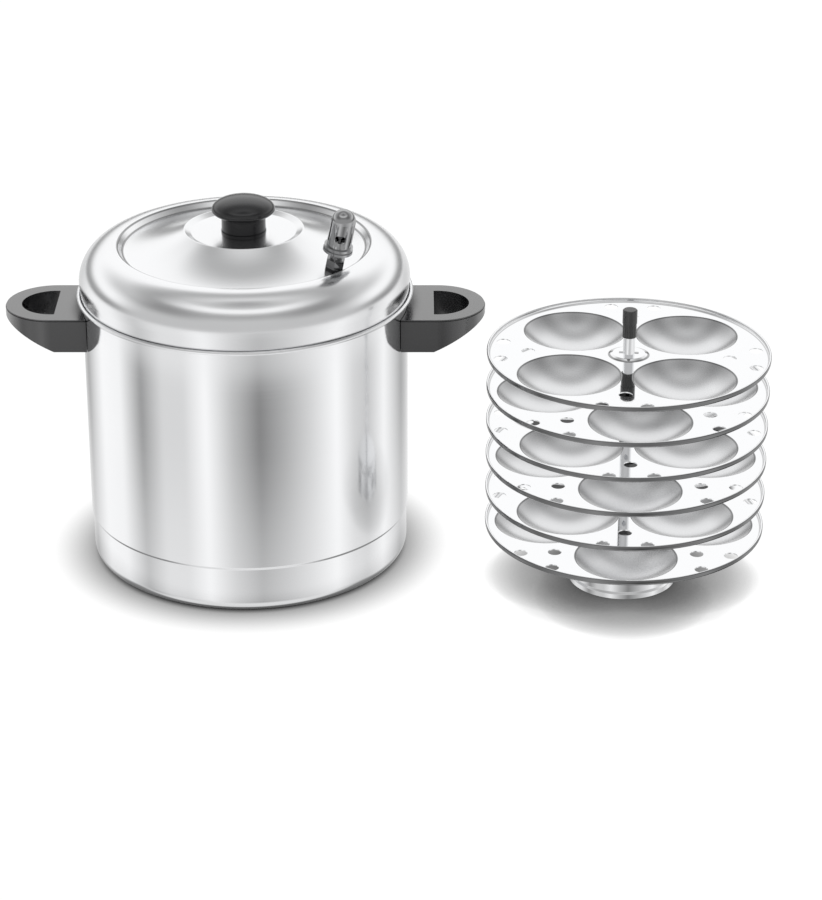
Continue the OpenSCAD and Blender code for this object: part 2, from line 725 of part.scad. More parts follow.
module plate_1() { plate(1); }
module plate_2() { plate(2); }
module plate_3() { plate(3); }
module plate_4() { plate(4); }
module plate_5() { plate(5); }
module plate_6() { plate(6); }

pot_body();
left_handle_bracket();
right_handle_bracket();
left_handle();
right_handle();
handle_screws();
lid_shell();
knob_collar();
knob();
knob_screw();
knob_washer();
vent_stem();
vent_gasket();
vent_nut();
whistle_weight();
stand_foot();
stand_rod();
plate_lugs();
stand_grip();
foot_nut();
plate_1();
plate_2();
plate_3();
plate_4();
plate_5();
plate_6();
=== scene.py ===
"""Idli steamer: dresses the fixed frame of a steel steaming pot and its stand of cup plates.

Sizes are in metres and angles in degrees unless a name says otherwise. The origin is the centre of the
pot's underside, Z is up, the handles lie along X and the camera looks from the front, from -Y.
"""

import json
import math

import bmesh
import bpy
from bpy.props import FloatProperty, FloatVectorProperty, IntProperty, PointerProperty
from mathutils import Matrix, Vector


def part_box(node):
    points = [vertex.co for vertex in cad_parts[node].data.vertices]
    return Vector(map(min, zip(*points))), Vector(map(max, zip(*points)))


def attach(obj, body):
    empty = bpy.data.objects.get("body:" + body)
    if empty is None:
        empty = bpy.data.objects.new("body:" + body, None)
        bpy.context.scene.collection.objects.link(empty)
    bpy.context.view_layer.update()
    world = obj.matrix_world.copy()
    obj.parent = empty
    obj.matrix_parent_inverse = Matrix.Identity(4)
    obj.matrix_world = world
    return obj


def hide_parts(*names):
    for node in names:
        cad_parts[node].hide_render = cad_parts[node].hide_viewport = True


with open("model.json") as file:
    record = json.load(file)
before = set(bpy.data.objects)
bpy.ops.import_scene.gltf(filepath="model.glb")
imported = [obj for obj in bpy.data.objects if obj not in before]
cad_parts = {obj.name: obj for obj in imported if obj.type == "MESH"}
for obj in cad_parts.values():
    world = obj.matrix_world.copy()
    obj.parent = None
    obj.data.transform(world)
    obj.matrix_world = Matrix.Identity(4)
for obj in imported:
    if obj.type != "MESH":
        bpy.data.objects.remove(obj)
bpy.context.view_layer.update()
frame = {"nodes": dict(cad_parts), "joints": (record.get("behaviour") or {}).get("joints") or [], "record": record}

bl_info = {
    "name": "Idli Steamer",
    "version": (1, 0, 0),
    "blender": (4, 5, 0),
    "location": "3D Viewport > Sidebar > Idli Steamer",
    "description": "Dresses a steel idli steamer and its stand of cup plates",
    "category": "Add Mesh",
}

MM = 0.001
WELD = 4e-6

# Grain of the finishes, as noise per metre
SPUN_GRAIN, SATIN_GRAIN, RESIN_GRAIN, CUT_GRAIN = 900, 2600, 1500, 700
POLISH_PATCHES, PLATE_PATCHES, RESIN_PATCHES = 14, 30, 40
GRAIN_DEPTH = 0.02 * MM

# Painted shade lines in the steel's colour: half their width where they fade out, and their share of the steel's
# brightness
CREASE_WIDTH, CREASE_SHADE = 1.0 * MM, 0.36
RIM_LINE, BEND_LINE, HUB_LINE = (0.6 * MM, 0.22), (0.7 * MM, 0.6), (1.1 * MM, 0.4)
CUP_LINE, CUP_LINE_SHADE = 0.985, 0.2

# Painted shade, as shares of the satin steel's brightness: near a cup's edge, and on flats seen through holes
CUP_SHADE, HIDDEN_SHADE = 0.35, 0.03

# Painted shade on the flats of a covered plate that the front view shows only through holes: how far behind the
# front edge it starts, how far from the rod it reaches, and how softly it ends
SHADE_BEHIND, SHADE_WITHIN, SHADE_EDGE = 58 * MM, 74 * MM, 6 * MM

# Steps of a bend, a rolled edge, a bowl and a steam hole
BEND_STEPS, BEAD_STEPS, BOWL_STEPS, HOLE_STEPS = 8, 24, 40, 32

# Width of the flat rings inside and outside the hub's bends
HUB_FLAT = 1.5 * MM


def across(node):
    """Outer radius of a round node, from the frame."""
    low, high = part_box(node)
    return (high.y - low.y) / 2


def top(node):
    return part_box(node)[1].z


def foot(node):
    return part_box(node)[0].z


def joint(name):
    return next(j for j in frame["joints"] if j["name"] == name)


STAND = Vector(joint("plate_1_turn")["pos_m"])
STAND.z = 0
PLATES = [name for name in frame["nodes"] if name.startswith("plate_") and name != "plate_lugs"]
PLATES.sort()


def size(name, about, default, low=0.0):
    """A length that a user can change."""
    return FloatProperty(name=name, description=about, default=default, min=low, unit="LENGTH", precision=4)


def finish(name, about, default):
    """A number between 0 and 1 that a user can change."""
    return FloatProperty(name=name, description=about, default=default, min=0, max=1, subtype="FACTOR")


def tint(name, about, default):
    """A colour that a user can change."""
    return FloatVectorProperty(name=name, description=about, default=default, min=0, max=1, subtype="COLOR")


class SteamerPot(bpy.types.PropertyGroup):
    wall: size("Wall", "Thickness of the pot's sheet", 0.8 * MM)
    base_round: size("Base rounding", "Radius of the turn from the base to the wall", 9.5 * MM)
    water_line: size("Water line", "Height of the pressed line above the floor", 36 * MM)
    inset: size("Inset", "How far the wall stands in below the water line", 1 * MM)
    line_round: size("Line rounding", "Rounding of both edges of the water line", 0.8 * MM)
    hem: size("Hem", "Depth of the folded hem inside the rim", 5 * MM)


class SteamerLid(bpy.types.PropertyGroup):
    wall: size("Wall", "Thickness of the lid's sheet", 0.7 * MM)
    shoulder: size("Shoulder", "Radius of the big rounded shoulder", 26 * MM)
    bead: size("Rolled edge", "Diameter of the rolled edge", 2.8 * MM)
    skirt: size("Skirt", "Height of the straight skirt above the rolled edge's middle", 10 * MM)
    crest: size("Crest", "Width of the flat crest between the shoulder and the channel", 1.8 * MM)
    channel_width: size("Channel width", "Width of the channel's outer wall", 3.6 * MM)
    channel_depth: size("Channel depth", "Depth of the channel under the crest", 4.4 * MM)
    slope: FloatProperty(name="Slope", description="Slope of the cone at the channel",
                         default=math.radians(10), subtype="ANGLE")
    hollow: size("Hollow", "Radius of the cone's hollow curve", 150 * MM)
    recess: size("Recess radius", "Radius of the lip round the knob's recess", 41.8 * MM)
    recess_wall: size("Recess wall", "Width of the sloping wall inside the lip", 4.8 * MM)
    recess_depth: size("Recess depth", "Depth of the recess under its lip", 2.2 * MM)


class SteamerPlate(bpy.types.PropertyGroup):
    thickness: size("Thickness", "Thickness of a plate's sheet", 0.8 * MM)
    cup: size("Cup diameter", "Diameter of a cup", 71.5 * MM)
    depth: size("Cup depth", "Depth of a cup", 13.5 * MM)
    cup_edge: size("Cup edge", "Rounding of a cup's edge", 1.1 * MM)
    cup_ring: size("Cup ring", "Distance of the cups' centres from the rod", 55.8 * MM)
    lip: size("Rim height", "Height of the upturned rim", 2.6 * MM)
    bead: size("Rolled edge", "Diameter of the rolled edge on the rim", 1.6 * MM)
    bend: size("Bends", "Rounding of the bends of the rim and the hub", 1.2 * MM)
    hole: size("Steam hole", "Diameter of a steam hole", 9.6 * MM)
    outer_ring: size("Outer holes", "Distance of the outer steam holes from the rod", 89.5 * MM)
    outer_spread: FloatProperty(name="Spread", description="Angle between two outer holes of a group",
                                default=math.radians(19.7), subtype="ANGLE")
    inner_ring: size("Inner holes", "Distance of the inner steam holes from the rod", 70 * MM)
    hub: size("Hub diameter", "Diameter of the raised hub at its foot", 28.4 * MM)
    hub_height: size("Hub height", "Height of the raised hub", 1.5 * MM)
    keyhole: size("Keyhole", "Diameter of the keyhole", 8.8 * MM)
    notch: size("Notches", "Length across both notches of the keyhole", 13.6 * MM)
    notch_width: size("Notch width", "Width of each notch", 3.5 * MM)


class SteamerFinish(bpy.types.PropertyGroup):
    steel: tint("Steel", "Colour of the polished steel", (0.86, 0.865, 0.875))
    satin: tint("Satin steel", "Colour of the satin steel in the cups", (0.74, 0.745, 0.755))
    plain: tint("Plain steel", "Colour of the hidden brackets, nuts and pins", (0.55, 0.56, 0.58))
    moulded: tint("Moulded parts", "Colour of the knob and the handles", (0.009, 0.009, 0.010))
    rubber: tint("Sealing ring", "Colour of the vent's sealing ring", (0.022, 0.022, 0.023))
    polish: finish("Polish", "Roughness of the polished steel", 0.09)
    satin_polish: finish("Satin", "Roughness of the satin steel", 0.28)
    gloss: finish("Gloss", "Roughness of the moulded knob", 0.17)


class SteamerStage(bpy.types.PropertyGroup):
    lens: FloatProperty(name="Lens", description="Focal length of the camera", default=120, unit="CAMERA")
    place: FloatVectorProperty(name="Camera", description="Place of the camera",
                               default=(0.11735, -1.97712, 0.9832), subtype="TRANSLATION")
    pitch: FloatProperty(name="Pitch", description="Angle of the camera under the horizon",
                         default=math.radians(24.70), subtype="ANGLE")
    floor: tint("Floor", "Colour of the floor", (0.94, 0.94, 0.94))
    steps: IntProperty(name="Steps", description="Steps round a spun piece", default=192, min=24)


# Nodes: one class for values and one for trees, used for materials, the world and geometry alike


class Value:
    """One output of a node. Sums and products of values add Math nodes to its tree."""

    def __init__(self, graph, socket):
        self.graph = graph
        self.socket = socket

    def __add__(self, other):
        return self.graph.math("ADD", self, other)

    def __sub__(self, other):
        return self.graph.math("SUBTRACT", self, other)

    def __rsub__(self, other):
        return self.graph.math("SUBTRACT", other, self)

    def __mul__(self, other):
        return self.graph.math("MULTIPLY", self, other)

    def __truediv__(self, other):
        return self.graph.math("DIVIDE", self, other)

    def __rtruediv__(self, other):
        return self.graph.math("DIVIDE", other, self)

    def __pow__(self, other):
        return self.graph.math("POWER", self, other)

    def __neg__(self):
        return self.graph.math("MULTIPLY", self, -1)

    def __lt__(self, other):
        return self.graph.math("LESS_THAN", self, other)

    __radd__ = __add__
    __rmul__ = __mul__


class Graph:
    """Adds nodes to a tree, from left to right, and links them."""

    def __init__(self, tree):
        self.tree = tree
        tree.nodes.clear()

    def add(self, kind, settings=None, inputs=None, output=0):
        """Makes a node, gives it its settings and then its inputs, and returns one of its outputs."""
        node = self.tree.nodes.new(kind)
        node.location = (220 * len(self.tree.nodes), 0)
        for name, value in (settings or {}).items():
            if name == "stops":
                self.set_stops(node.color_ramp, value)
            else:
                setattr(node, name, value)
        for name, value in (inputs or {}).items():
            self.feed(self.socket(node.inputs, name), value)
        return Value(self, self.socket(node.outputs, output)) if node.outputs else node

    @staticmethod
    def set_stops(ramp, stops):
        while len(ramp.elements) < len(stops):
            ramp.elements.new(0.5)
        for element, (position, grey) in zip(ramp.elements, stops):
            element.position = position
            element.color = (grey, grey, grey, 1)

    @staticmethod
    def socket(sockets, name):
        if isinstance(name, int):
            return sockets[name]
        return next(s for s in sockets if s.name == name and s.enabled)

    def feed(self, socket, value):
        for one in value if isinstance(value, list) else [value]:
            if isinstance(one, Value):
                self.tree.links.new(one.socket, socket)
            else:
                socket.default_value = one

    def math(self, operation, *values):
        return self.add("ShaderNodeMath", {"operation": operation}, dict(enumerate(values)))

    def split(self, vector):
        """X, Y and Z of a vector."""
        first = self.add("ShaderNodeSeparateXYZ", None, {0: vector})
        return [Value(self, s) for s in first.socket.node.outputs]

    def join(self, x=0.0, y=0.0, z=0.0):
        return self.add("ShaderNodeCombineXYZ", None, {0: x, 1: y, 2: z})

    def fade(self, value, low, high):
        """Rises smoothly from 0 at low to 1 at high."""
        return self.add("ShaderNodeMapRange", {"interpolation_type": "SMOOTHSTEP"},
                        {"Value": value, "From Min": low, "From Max": high})

    def mix(self, factor, a, b):
        return self.add("ShaderNodeMix", {"data_type": "RGBA"}, {"Factor": factor, "A": a, "B": b},
                        output="Result")

    def ramp(self, value, stops):
        return self.add("ShaderNodeValToRGB", {"stops": stops}, {0: value})


# Materials


def painted(name):
    """A new material's graph, with its output node left to bond()."""
    material = bpy.data.materials.new(name)
    material.use_nodes = True
    return material, Graph(material.node_tree)


def bond(graph, inputs):
    """Ends a material's graph in a Principled shader with these inputs."""
    shader = graph.add("ShaderNodeBsdfPrincipled", None, inputs)
    graph.add("ShaderNodeOutputMaterial", None, {"Surface": shader})


def shade(colour, share):
    return (*[c * share for c in colour[:3]], 1)


def spun_lines(graph, centre, per_metre):
    """Fine rings left by spinning and polishing, round the upright axis at centre."""
    spot = graph.add("ShaderNodeTexCoord", None, None, "Object")
    placed = graph.add("ShaderNodeMapping", None, {"Vector": spot, "Location": tuple(-c for c in centre)})
    x, y, z = graph.split(placed)
    radius = (x * x + y * y) ** 0.5
    return graph.add("ShaderNodeTexNoise", None,
                     {"Vector": graph.join(radius, z, 0), "Scale": per_metre, "Detail": 3.0})


def blotches(graph, per_metre, detail=2.0):
    spot = graph.add("ShaderNodeTexCoord", None, None, "Object")
    return graph.add("ShaderNodeTexNoise", None, {"Vector": spot, "Scale": per_metre, "Detail": detail})


def polished_steel(name, colour, roughness, centre=(0, 0, 0), lines=1.0, creases=None):
    """Bright drawn steel with faint spun rings and slightly uneven polish, with painted shade along two creases.
    """
    material, graph = painted(name)
    rings = spun_lines(graph, centre, SPUN_GRAIN)
    painted_crease_shade = 0.0
    # Painted shade: a dark line in the steel's colour along each crease
    if creases:
        x, y, _ = graph.split(graph.add("ShaderNodeTexCoord", None, None, "Object"))
        radius = (x * x + y * y) ** 0.5
        low, high = [graph.math("ABSOLUTE", radius - crease) for crease in creases]
        painted_crease_shade = graph.fade(graph.math("MINIMUM", low, high), CREASE_WIDTH, 0.3 * CREASE_WIDTH)
    patches = blotches(graph, POLISH_PATCHES)
    bump = graph.add("ShaderNodeBump", None,
                     {"Strength": 0.05 * lines, "Distance": GRAIN_DEPTH, "Height": rings})
    bright = graph.mix(patches * 0.5 + rings * 0.5, shade(colour, 0.96), shade(colour, 1.02))
    bond(graph, {
        "Base Color": graph.mix(painted_crease_shade, bright, shade(colour, CREASE_SHADE)),
        "Metallic": 1.0,
        "Roughness": roughness + (patches - 0.5) * 0.05 + (rings - 0.5) * 0.06 * lines,
        "Normal": bump,
    })
    return material


def plate_steel(name, finishes, rings):
    """Bright sheet with softly brushed cups. Rings, as (radius, (width, shade)), paint shade along its creases.

    The satin attribute marks the cups, reach is the share of a cup's radius, and covered marks a plate that
    stands in another one's shade, which is painted on its hidden flats.
    """
    material, graph = painted(name)
    satin, reach, covered = [graph.add("ShaderNodeAttribute", {"attribute_name": label}, None, "Fac")
                             for label in ("satin", "reach", "covered")]
    spot = graph.add("ShaderNodeTexCoord", None, None, "Object")
    from_rod = graph.add("ShaderNodeMapping", None, {"Vector": spot, "Location": tuple(-STAND)})
    x, y, _ = graph.split(from_rod)
    radius = (x * x + y * y) ** 0.5
    grain = blotches(graph, SATIN_GRAIN)
    patches = blotches(graph, PLATE_PATCHES)
    # Painted shade: each cup darkens towards its edge and has a thin dark line just inside its mouth
    cup_edge = graph.fade(graph.math("ABSOLUTE", reach - CUP_LINE), 0.025, 0.005)
    colour = graph.mix(satin, shade(finishes.steel, 1.0), shade(finishes.satin, 1.0))
    colour = graph.mix(graph.fade(reach, 0.55, 0.97) * 0.55, colour, shade(finishes.satin, CUP_SHADE))
    colour = graph.mix(cup_edge * 0.8, colour, shade(finishes.satin, CUP_LINE_SHADE))
    # Painted shade lines along the plate's edge, the rim's bend and the hub's foot
    for middle, (width, depth) in rings:
        line = graph.fade(graph.math("ABSOLUTE", radius - middle), width, width * 0.4)
        colour = graph.mix(line, colour, shade(finishes.steel, depth))
    # Painted shade: a covered plate's flats far behind the front edge of the plate above, and near the rod, turn
    # almost black
    behind = y + (across(PLATES[0]) ** 2 - x * x) ** 0.5
    far = graph.fade(behind, SHADE_BEHIND, SHADE_BEHIND + 5 * MM)
    near = graph.fade(radius, SHADE_WITHIN + SHADE_EDGE, SHADE_WITHIN)
    painted_under_shade = covered * far * near * (1 - satin)
    soft = satin * (finishes.satin_polish - finishes.polish * 0.5)
    bump = graph.add("ShaderNodeBump", None,
                     {"Strength": 0.06, "Distance": GRAIN_DEPTH, "Height": grain * satin})
    bond(graph, {
        "Base Color": graph.mix(painted_under_shade, colour, shade(finishes.satin, HIDDEN_SHADE)),
        "Metallic": 1.0,
        "Roughness": finishes.polish * 0.5 + soft + (patches - 0.5) * 0.03 + (grain - 0.5) * satin * 0.08,
        "Normal": bump,
    })
    return material


def moulded(name, colour, roughness, grain=1.0, shine=0.0):
    """Dark moulded resin: a fine skin under a shine that fades where little light comes in."""
    material, graph = painted(name)
    skin = blotches(graph, RESIN_GRAIN, 3.0)
    patches = blotches(graph, RESIN_PATCHES)
    open_air = graph.add("ShaderNodeAmbientOcclusion", {"samples": 8}, {"Distance": 20 * MM}, "AO")
    bump = graph.add("ShaderNodeBump", None,
                     {"Strength": 0.12 * grain, "Distance": 0.03 * MM, "Height": skin})
    bond(graph, {
        "Base Color": graph.mix(patches, shade(colour, 0.85), shade(colour, 1.2)),
        "Roughness": roughness + (patches - 0.5) * 0.06 + (skin - 0.5) * 0.08 * grain,
        "Specular IOR Level": 0.25,
        "Coat Weight": graph.fade(open_air, 0.45, 0.75) * shine,
        "Coat Roughness": roughness,
        "Coat IOR": 1.8,
        "Normal": bump,
    })
    return material


def plain_steel(name, colour, roughness=0.32):
    """Cut steel with a dull, slightly scratched skin."""
    material, graph = painted(name)
    skin = blotches(graph, CUT_GRAIN, 4.0)
    bump = graph.add("ShaderNodeBump", None, {"Strength": 0.1, "Distance": GRAIN_DEPTH, "Height": skin})
    bond(graph, {
        "Base Color": graph.mix(skin, shade(colour, 0.85), shade(colour, 1.1)),
        "Metallic": 1.0,
        "Roughness": roughness + (skin - 0.5) * 0.2,
        "Normal": bump,
    })
    return material


def made_once(name, make):
    """The material of that name, made at its first use."""
    return bpy.data.materials.get(name) or make(name)


def lid_material(finishes, creases):
    roughness = finishes.polish + 0.10
    return made_once("lid_satin_steel",
                     lambda n: polished_steel(n, finishes.steel, roughness, lines=1.2, creases=creases))


def pot_material(finishes):
    return made_once("pot_polished_steel",
                     lambda n: polished_steel(n, finishes.steel, finishes.polish + 0.02))


def stand_material(finishes):
    return made_once("stand_polished_steel",
                     lambda n: polished_steel(n, finishes.steel, finishes.polish, STAND))


def chrome_material(name, finishes, brightness, dullness):
    """Chrome for the vent: brightness and dullness are shares of the polished steel's."""
    return made_once(name, lambda n: polished_steel(n, shade(finishes.steel, brightness),
                                                    finishes.polish * dullness, lines=0.3))


def hidden_material(finishes):
    return made_once("plain_cut_steel", lambda n: plain_steel(n, finishes.plain))


# Outlines: paths in (radius, height)


def corner(a, b, c, radius, steps):
    """Points round the corner at b, between a and c."""
    a, b, c = Vector(a[:2]), Vector(b[:2]), Vector(c[:2])
    to_a, to_c = (a - b).normalized(), (c - b).normalized()
    half = to_a.angle(to_c) / 2
    middle = b + (to_a + to_c).normalized() * radius / math.sin(half)
    first = b + to_a * radius / math.tan(half) - middle
    start = math.atan2(first.y, first.x)
    clockwise = (to_c.x * -to_a.y - to_c.y * -to_a.x) < 0
    sweep = (math.pi - 2 * half) * (1 if clockwise else -1)
    angles = [start + sweep * k / steps for k in range(steps + 1)]
    return [middle + radius * Vector((math.cos(angle), math.sin(angle))) for angle in angles]


def rounded(points, steps=12):
    """A path through points (r, z) or (r, z, radius), with its inner corners rounded."""
    path = [Vector(points[0][:2])]
    for before, here, after in zip(points, points[1:], points[2:]):
        if len(here) == 3 and here[2] > 0:
            path += corner(before, here, after, here[2], steps)
        else:
            path.append(Vector(here[:2]))
    return path + [Vector(points[-1][:2])]


def beside(path, distance):
    """The same path moved to its left."""
    moved = []
    for k, point in enumerate(path):
        before = path[max(k, 1)] - path[max(k, 1) - 1]
        after = path[min(k + 1, len(path) - 1)] - path[min(k, len(path) - 2)]
        left = [Vector((-v.y, v.x)).normalized() for v in (before, after)]
        middle = (left[0] + left[1]).normalized()
        moved.append(point + middle * distance / middle.dot(left[0]))
    return moved


def arc(centre, radius, start, end, steps=16):
    """Points on an arc, with its angles in degrees from outwards to up."""
    turns = [math.radians(start + (end - start) * k / steps) for k in range(steps + 1)]
    return [Vector(centre) + radius * Vector((math.cos(a), math.sin(a))) for a in turns]


# Pieces


def outline(name, path, closed=False):
    """A flat curve through the path's points, as a helper for a tree."""
    curve = bpy.data.curves.new(name, "CURVE")
    curve.dimensions = "3D"
    spline = curve.splines.new("POLY")
    spline.points.add(len(path) - 1)
    for point, (x, y) in zip(spline.points, path):
        point.co = (x, y, 0, 1)
    spline.use_cyclic_u = closed
    helper = bpy.data.objects.new(name, curve)
    bpy.context.scene.collection.objects.link(helper)
    return helper


def new_tree(name, inputs):
    """A geometry tree with named inputs, its graph and a value for each input."""
    tree = bpy.data.node_groups.new(name, "GeometryNodeTree")
    tree.interface.new_socket("Geometry", in_out="OUTPUT", socket_type="NodeSocketGeometry")
    for label, kind in inputs:
        tree.interface.new_socket(label, in_out="INPUT", socket_type="NodeSocket" + kind)
    graph = Graph(tree)
    entry = graph.tree.nodes.new("NodeGroupInput")
    return tree, graph, {s.name: Value(graph, s) for s in entry.outputs if s.name}


def end_tree(graph, geometry, material=None):
    """Ends a tree as the export needs it: real meshes with their material set."""
    real = graph.add("GeometryNodeRealizeInstances", None, {0: geometry})
    if material:
        real = graph.add("GeometryNodeSetMaterial", None, {"Geometry": real, "Material": material})
    graph.tree.nodes.new("NodeGroupOutput")
    graph.feed(graph.tree.nodes[-1].inputs[0], real)


def grown(name, helper, tree, inputs):
    """The mesh that a tree makes from a helper, as a new object; the helper is removed."""
    modifier = helper.modifiers.new(tree.name, "NODES")
    modifier.node_group = tree
    for item in tree.interface.items_tree:
        if item.in_out == "INPUT" and item.name in inputs:
            modifier[item.identifier] = inputs[item.name]
    depsgraph = bpy.context.evaluated_depsgraph_get()
    mesh = bpy.data.meshes.new_from_object(helper.evaluated_get(depsgraph), depsgraph=depsgraph)
    mesh.name = name
    bpy.data.objects.remove(helper)
    piece = bpy.data.objects.new(name, mesh)
    bpy.context.scene.collection.objects.link(piece)
    return piece


# Radius of the circle that carries a spun outline
RAIL = 1 * MM


def spun_tree():
    """Spins an outline round the upright axis: its X is the radius and its Y the height."""
    known = bpy.data.node_groups.get("Spun sheet")
    if known:
        return known
    tree, graph, value = new_tree("Spun sheet", [("Geometry", "Geometry"), ("Steps", "Int"),
                                                 ("Material", "Material")])
    rail = graph.add("GeometryNodeCurvePrimitiveCircle", None,
                     {"Resolution": value["Steps"], "Radius": RAIL})
    section = graph.add("GeometryNodeTransform", None,
                        {"Geometry": value["Geometry"], "Translation": (-RAIL, 0, 0), "Scale": (1, -1, 1)})
    skin = graph.add("GeometryNodeCurveToMesh", None, {"Curve": rail, "Profile Curve": section})
    whole = graph.add("GeometryNodeMergeByDistance", None, {"Geometry": skin, "Distance": WELD})
    end_tree(graph, whole, value["Material"])
    return tree


def shaded_evenly(piece, sharp):
    """Smooth shading with crisp edges over sharp degrees, and flats that stay flat beside their bends."""
    piece.data.shade_smooth()
    piece.data.set_sharp_from_angle(angle=math.radians(sharp))
    even = piece.modifiers.new("Even normals", "WEIGHTED_NORMAL")
    even.keep_sharp = True
    return piece


def smooth(piece):
    """A grown piece with its normals outwards and its shading smooth."""
    work = bmesh.new()
    work.from_mesh(piece.data)
    bmesh.ops.remove_doubles(work, verts=work.verts, dist=WELD / 2)
    bmesh.ops.recalc_face_normals(work, faces=work.faces)
    work.to_mesh(piece.data)
    work.free()
    return shaded_evenly(piece, 38)


def settle(piece, node):
    """The piece stands for a node, whose mesh is hidden, and rides on its body."""
    body = next(b for b, members in frame["record"]["behaviour"]["bodies"].items() if node in members)
    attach(piece, body)
    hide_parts(node)
    return piece


def spun(name, path, material):
    """A piece spun from one outline round the pot's axis."""
    steps = bpy.context.scene.steamer_stage.steps
    return smooth(grown(name, outline(name + "_outline", path), spun_tree(),
                        {"Steps": steps, "Material": material}))


def recast(name, node, material):
    """A welded, smoothly shaded copy of a node's own mesh."""
    mesh = frame["nodes"][node].data.copy()
    mesh.name = name
    mesh.materials.clear()
    mesh.materials.append(material)
    piece = bpy.data.objects.new(name, mesh)
    bpy.context.scene.collection.objects.link(piece)
    work = bmesh.new()
    work.from_mesh(mesh)
    bmesh.ops.remove_doubles(work, verts=work.verts, dist=WELD)
    bmesh.ops.dissolve_limit(work, angle_limit=math.radians(0.5), verts=work.verts, edges=work.edges)
    work.to_mesh(mesh)
    work.free()
    return shaded_evenly(piece, 30)


def paint(node, material):
    """A node whose shape is right keeps its mesh and gets a better material."""
    mesh = frame["nodes"][node].data
    mesh.materials.clear()
    mesh.materials.append(material)


class SteamerOperator:
    bl_options = {"REGISTER", "UNDO"}


class STEAMER_OT_pot(SteamerOperator, bpy.types.Operator):
    """Add the drawn pot with its water line, hem and rounded rim"""

    bl_idname = "steamer.pot"
    bl_label = "Pot"

    def execute(self, context):
        pot = context.scene.steamer_pot
        radius, height = across("pot_body"), top("pot_body")
        lower = radius - pot.inset
        rim = height - pot.wall
        outside = rounded([(0, 0), (lower, 0, pot.base_round),
                           (lower, pot.water_line - 2 * pot.inset, pot.line_round),
                           (radius, pot.water_line, pot.line_round), (radius, rim)])
        inside = beside(outside, pot.wall)[::-1]
        inner = radius - 2 * pot.wall
        bead = arc((radius - pot.wall, rim), pot.wall, 0, 180)
        hem = [Vector((inner, height - pot.hem)), Vector((radius - pot.wall, height - pot.hem))]
        body = spun("pot_shell", outside[:-1] + bead + hem + inside[1:],
                    pot_material(context.scene.steamer_finish))
        settle(body, "pot_body")
        return {"FINISHED"}


class STEAMER_OT_lid(SteamerOperator, bpy.types.Operator):
    """Add the pressed lid with its rolled edge, shoulder, channel, hollow cone and lipped recess"""

    bl_idname = "steamer.lid"
    bl_label = "Lid"

    def execute(self, context):
        lid = context.scene.steamer_lid
        bead = lid.bead / 2
        bead_z = foot("lid_shell") + bead
        skirt = across("lid_shell") - lid.bead + lid.wall
        crest_z = bead_z + lid.skirt + lid.shoulder
        crest = skirt - lid.shoulder - lid.crest
        cone, cone_z = crest - lid.channel_width, crest_z - lid.channel_depth

        def on_cone(r):
            """A point of the hollow cone's outer face."""
            steepness = math.sin(lid.slope) + (cone - r) / lid.hollow
            return (r, cone_z + lid.hollow * (math.cos(lid.slope) - math.sqrt(1 - steepness ** 2)))

        count = 24
        hollow = [on_cone(cone + (lid.recess - cone) * k / count) for k in range(1, count)]
        lip = on_cone(lid.recess)
        floor, floor_z = lid.recess - lid.recess_wall, lip[1] - lid.recess_depth
        crest_round, channel_round, lip_round, floor_round = 1.8 * MM, 1.4 * MM, 1.2 * MM, 1 * MM
        shoulder_round = lid.shoulder - 0.01 * MM
        outer = rounded([(skirt, bead_z), (skirt, crest_z, shoulder_round), (crest, crest_z, crest_round),
                         (cone, cone_z, channel_round), *hollow, (*lip, lip_round),
                         (floor, floor_z, floor_round), (0, floor_z)], 24)
        inner = beside(outer, lid.wall)[::-1]
        rolled = arc((skirt - lid.wall + bead, bead_z), bead, 180, 480, 30)
        # The lid's steel gets painted shade along the cone's foot and the crest's inner edge
        material = lid_material(context.scene.steamer_finish, (cone, crest))
        cover = spun("lid_cover", outer[1:] + inner[:-1] + rolled, material)
        settle(cover, "lid_shell")
        return {"FINISHED"}


class STEAMER_OT_knob(SteamerOperator, bpy.types.Operator):
    """Add the moulded knob and its thin collar, and finish the screw and washer"""

    bl_idname = "steamer.knob"
    bl_label = "Knob"

    def execute(self, context):
        finishes = context.scene.steamer_finish
        gloss = made_once("knob_gloss", lambda n: moulded(n, finishes.moulded, finishes.gloss, 0.3, 0.3))
        settle(recast("knob_cap", "knob", gloss), "knob")
        settle(recast("knob_ring", "knob_collar", gloss), "knob_collar")
        for node in ("knob_screw", "knob_washer"):
            paint(node, hidden_material(finishes))
        return {"FINISHED"}


class STEAMER_OT_vent(SteamerOperator, bpy.types.Operator):
    """Add the chromed vent, its sealing ring and the whistle weight"""

    bl_idname = "steamer.vent"
    bl_label = "Whistle vent"

    def execute(self, context):
        finishes = context.scene.steamer_finish
        chrome = chrome_material("vent_bright_chrome", finishes, 0.46, 0.6)
        dark_chrome = chrome_material("stem_dark_chrome", finishes, 0.3, 1.0)
        settle(recast("vent_pipe", "vent_stem", dark_chrome), "vent_stem")
        settle(recast("whistle", "whistle_weight", chrome), "whistle_weight")
        rubber = made_once("vent_silicone", lambda n: moulded(n, finishes.rubber, 0.6))
        settle(recast("vent_seal", "vent_gasket", rubber), "vent_gasket")
        paint("vent_nut", hidden_material(finishes))
        return {"FINISHED"}


class STEAMER_OT_handles(SteamerOperator, bpy.types.Operator):
    """Add the moulded handles and finish their brackets and screws"""

    bl_idname = "steamer.handles"
    bl_label = "Handles"

    def execute(self, context):
        finishes = context.scene.steamer_finish
        resin = made_once("handle_resin",
                          lambda n: moulded(n, finishes.moulded, finishes.gloss + 0.05, 0.5, 1.0))
        for side in ("left", "right"):
            node = side + "_handle"
            grip = recast(side + "_grip", node, resin)
            settle(grip, node)
            paint(node + "_bracket", hidden_material(finishes))
        paint("handle_screws", hidden_material(finishes))
        return {"FINISHED"}


